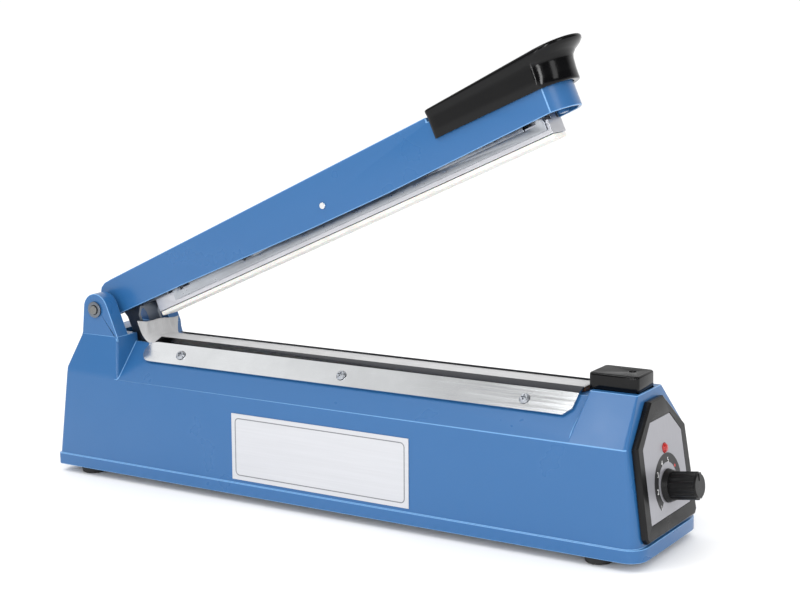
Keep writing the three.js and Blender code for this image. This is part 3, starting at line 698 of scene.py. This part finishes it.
def make_cloth():
    rows = []
    for i in range(19):
        turn = math.radians(92 * (1 - i / 19))
        lift = 1 - math.cos(turn)
        row = []
        for y, z in cloth_section(15.8 + 5.4 * lift):
            curl = 0.8 * math.sin(y * 0.33 + 0.6) * lift + 0.4 * math.sin(y * 0.9) * lift
            fold = -2.4 * max(0.0, (-y - 12) / 9) * lift
            row.append((CLOTH_START - (4.2 - 1.6 * y / 22) * math.sin(turn) + curl + fold,
                        y * (1 - (0.08 if y > 0 else 0.0) * math.sin(turn) ** 2),
                        z + (CLOTH_EDGE - y * 0.05 - z) * lift + 0.5 * math.sin(y * 0.28 + 1) * lift))
        rows.append(row)
    section = cloth_section()
    steps = 120
    for i in range(steps + 1):
        x = CLOTH_START + 1.4 + (CLOTH_END - CLOTH_START - 1.4) * i / steps
        row = []
        for y, z in section:
            ease = min(1, i / 6)
            wave = 0.06 * math.sin(x * 0.11 + y * 0.5) * math.sin(x * 0.037 + 1.3) * ease
            ridge = 0.1 * math.exp(-(y / 1.8) ** 2) * ease
            sag = min(0.0, wave) if abs(y) < WAVE_HALF_W else 0.0
            row.append((x, y, z + ridge + sag))
        rows.append(row)
    cloth = grid_object("cloth_looks", rows, MATERIALS["ptfe"])
    thick = cloth.modifiers.new("thickness", "SOLIDIFY")
    thick.thickness = 0.00018
    thick.offset = 0
    stand_for(cloth, "ptfe_cloth")


make_cloth()


# ---- panel: dial band, digits, lamp -------------------------------------------------
KNOB_UP = 34 * LEAN
LABEL_OUT = 3.93
DIAL_RADIUS = 14.8


def ride_base(obj):
    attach(obj, "base")


def flat_ring(name, outer, inner, material, to_place, closed=True, lift=0.0):
    """A thin flat band between two outlines of equal length."""
    rows = [[(*p, lift) for p in outer], [(*p, lift) for p in inner]]
    return grid_object(name, rows, material, closed_rows=closed, to_place=to_place, smooth=False)


def make_dial():
    """A dark band round the knob with the numbers 1 to 5 and a red dot at its end."""
    outer, inner = (arc(0.5, KNOB_UP + 1, DIAL_RADIUS + step, 226, 8, 60) for step in (2.5, -2.7))
    band = flat_ring("dial_band", outer, inner, INK, panel_place, closed=False, lift=LABEL_OUT)
    ride_base(band)
    places = {"1": (-11.0, 24.0), "2": (-13.2, 33.6), "3": (-10.9, 42.6),
              "4": (-4.2, 47.4), "5": (3.8, 47.6)}
    for digit, (x, up) in places.items():
        curve = bpy.data.curves.new("digit_" + digit, "FONT")
        curve.body = digit
        curve.align_x = "CENTER"
        curve.align_y = "CENTER"
        curve.size = 0.0042
        curve.extrude = 0.00001
        curve.materials.append(WHITE_INK)
        text = bpy.data.objects.new("digit_" + digit, curve)
        across = Vector((0, 1, 0))
        upward = Vector((-END_SLOPE / LEAN, 0, 1 / LEAN))
        out = across.cross(upward)
        turn = Matrix((across, upward, out)).transposed().to_4x4()
        text.matrix_world = Matrix.Translation(panel_place(x, up * LEAN, LABEL_OUT + 0.03)) @ turn
        bpy.context.scene.collection.objects.link(text)
        ride_base(text)
    outer, inner = (arc(11.5, 42.6 * LEAN, radius, 0, 360, 24) for radius in (0.9, 0.01))
    dot = flat_ring("dial_dot", outer, inner, RED_INK, panel_place, lift=LABEL_OUT + 0.01)
    ride_base(dot)


make_dial()


def make_lamp():
    """A turned lens: collar, shoulder and a shallow dome."""
    profile = ((2.9, -6), (2.9, 4.2), (2.75, 4.5), (2.4, 4.6), (2.3, 4.9), (2.0, 5.3), (1.5, 5.55),
               (0.8, 5.64), (0.05, 5.65))
    rows = [[(1.5 + r * math.cos(a), 55 * LEAN + r * math.sin(a), z)
             for a in (math.tau * i / 32 for i in range(32))] for r, z in profile]
    lamp = grid_object("lamp_lens", rows, MATERIALS["lamp_red"], closed_rows=True, to_place=panel_place)
    shade(lamp, 50)
    stand_for(lamp, "indicator_lamp")


make_lamp()


# ---- rating label border ------------------------------------------------------------
BORDER_INSET = 2.6
BORDER_LINE = 0.7
BORDER_RADIUS = 3.0
LABEL_THICK = 0.3


def rounded_outline(low, high, inset, radius):
    """Corners of a rectangle in x and z, moved in by the inset and rounded, from upper right round."""
    reach = inset + radius
    left, right, bottom, top = low.x + reach, high.x - reach, low.z + reach, high.z - reach
    return (arc(right, top, radius, 0, 90, 6) + arc(left, top, radius, 90, 180, 6)
            + arc(left, bottom, radius, 180, 270, 6) + arc(right, bottom, radius, 270, 360, 6))


def make_border():
    """The plain line round the rating label, just off its leaning face."""
    low, high = (LAYOUT.inverted() @ Vector(c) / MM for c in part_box("rating_label"))

    def on_wall(x, z, lift):
        t = (z - low.z) / (high.z - low.z)
        front = low.y + t * (high.y - LABEL_THICK - low.y)
        return place(x, front - 0.03 - lift, z)

    outer = rounded_outline(low, high, BORDER_INSET, BORDER_RADIUS)
    inner = rounded_outline(low, high, BORDER_INSET + BORDER_LINE, BORDER_RADIUS - BORDER_LINE)
    frame_line = flat_ring("label_border", outer, inner, INK_GREY, on_wall)
    ride_base(frame_line)


make_border()


# ---- return spring ------------------------------------------------------------------
HOOK_RADIUS = 0.003
EYE_RADIUS = 0.0032
COIL_RADIUS = 0.0042
WIRE_RADIUS = 0.00065


def make_spring():
    """A coil from the lever's hook down to the anchor, with a part turn at each end."""
    hook = arm_place(0.43, 0, -35.35)
    anchor = place(108, 0, 58)
    axis = (anchor - hook).normalized()
    side = Vector((0, 1, 0))
    up = axis.cross(side).normalized()
    length = (anchor - hook).length
    points = []
    for i in range(13):
        a = math.pi * 1.15 * (1 - i / 12)
        points.append(hook - axis * HOOK_RADIUS * math.sin(a) + up * HOOK_RADIUS * math.cos(a))
    turns = 11
    steps = 220
    for i in range(steps + 1):
        a = math.pi / 2 + i / steps * turns * math.tau
        points.append(hook + axis * (0.008 + (length - 0.016) * i / steps)
                      + (side * math.cos(a) + up * math.sin(a)) * COIL_RADIUS)
    for i in range(13):
        a = math.pi * i / 12 * 1.15
        points.append(anchor + axis * EYE_RADIUS * math.sin(a) + up * EYE_RADIUS * math.cos(a))
    rows = []
    for before, here, after in zip([points[0]] + points, points, points[1:] + [points[-1]]):
        ahead = (after - before).normalized()
        one = ahead.cross(Vector((0.31, 0.2, 0.93))).normalized()
        two = ahead.cross(one)
        rows.append([tuple(here + (one * math.cos(a) + two * math.sin(a)) * WIRE_RADIUS)
                     for a in (math.tau * k / 8 for k in range(8))])
    spring = grid_object("spring_wire", rows, MATERIALS["zinc_steel"], closed_rows=True,
                         to_place=lambda *p: Vector(p))
    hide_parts("return_spring")
    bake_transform(spring)


make_spring()


# ---- floor and light ----------------------------------------------------------------
def add_floor():
    bpy.ops.mesh.primitive_plane_add(size=140, location=(0, 0, -0.0002))
    floor = bpy.context.object
    floor.name = "floor"
    m = Nodes("floor", (0.96, 0.96, 0.96, 1), 0.9)
    m.tint(m.ramp(m.noise(3, 2), 0.4, 0.7, 0, 0.2), (0.95, 0.95, 0.955, 1))
    floor.data.materials.append(m.material)


def add_area(name, location, target, size, power, color=(1, 1, 1)):
    data = bpy.data.lights.new(name, "AREA")
    data.shape = "RECTANGLE"
    data.size, data.size_y = size
    data.energy = power
    data.color = color
    light = bpy.data.objects.new(name, data)
    light.location = location
    light.rotation_euler = (Vector(target) - Vector(location)).to_track_quat("-Z", "Y").to_euler()
    bpy.context.scene.collection.objects.link(light)


def dot_ramp(tree, direction, axis, low, high, out_low, out_high):
    """How far a direction points along an axis, mapped to a brightness."""
    dot = tree.nodes.new("ShaderNodeVectorMath")
    dot.operation = "DOT_PRODUCT"
    dot.inputs[1].default_value = axis
    tree.links.new(direction, dot.inputs[0])
    ramp = tree.nodes.new("ShaderNodeMapRange")
    ramp.interpolation_type = "SMOOTHSTEP"
    for socket, number in (("From Min", low), ("From Max", high),
                           ("To Min", out_low), ("To Max", out_high)):
        ramp.inputs[socket].default_value = number
    tree.links.new(dot.outputs["Value"], ramp.inputs["Value"])
    return ramp.outputs["Result"]


def add_world():
    """Even white light, and a room for reflections: bright behind and overhead, dim in front."""
    world = bpy.data.worlds.new("studio")
    world.use_nodes = True
    tree = world.node_tree
    direction = tree.nodes.new("ShaderNodeTexCoord").outputs["Generated"]
    behind = dot_ramp(tree, direction, (-0.545, 0.838, 0.0), 0.1, 0.6, 0.12, 1.0)
    leftward = dot_ramp(tree, direction, (-1.0, 0.0, 0.0), 0.38, 0.66, 0.34, 1.05)
    upward = dot_ramp(tree, direction, (0.0, 0.0, 1.0), 0.25, 0.6, 0.3, 1.0)
    overhead = tree.nodes.new("ShaderNodeMath")
    overhead.operation = "MULTIPLY"
    tree.links.new(leftward, overhead.inputs[0])
    tree.links.new(upward, overhead.inputs[1])
    brighter = tree.nodes.new("ShaderNodeMath")
    brighter.operation = "MAXIMUM"
    tree.links.new(behind, brighter.inputs[0])
    tree.links.new(overhead.outputs[0], brighter.inputs[1])
    path = tree.nodes.new("ShaderNodeLightPath")
    choose = tree.nodes.new("ShaderNodeMix")
    tree.links.new(dot_ramp(tree, direction, (0.0, 0.0, 1.0), 0.0, 0.95, 0.86, 1.22), choose.inputs[2])
    tree.links.new(path.outputs["Is Glossy Ray"], choose.inputs[0])
    tree.links.new(brighter.outputs[0], choose.inputs[3])
    seen = tree.nodes.new("ShaderNodeMix")
    tree.links.new(path.outputs["Is Camera Ray"], seen.inputs[0])
    tree.links.new(choose.outputs[0], seen.inputs[2])
    seen.inputs[3].default_value = 1.0
    tree.links.new(seen.outputs[0], tree.nodes["Background"].inputs["Strength"])
    tree.nodes["Background"].inputs["Color"].default_value = (1, 1, 1, 1)
    bpy.context.scene.world = world


def add_lights():
    add_area("key", (-0.5, -1.5, 1.9), (0, 0, 0.1), (1.2, 0.9), 5)
    add_area("right", (1.7, -0.5, 0.9), (0.1, 0, 0.1), (0.5, 1.0), 5)
    add_area("overhead", (-0.45, -0.6, 1.35), (0.17, 0, 0.09), (0.42, 0.42), 2.4)
    add_area("strip_wide", (0.72, -1.37, 0.62), (0.12, 0, 0.22), (0.2, 0.8), 6.5)
    add_area("strip_narrow", (-0.16, -1.45, 0.36), (0.12, 0, 0.22), (0.07, 0.7), 2.0)
    bpy.context.scene.view_settings.view_transform = "Standard"


add_floor()
add_world()
add_lights()
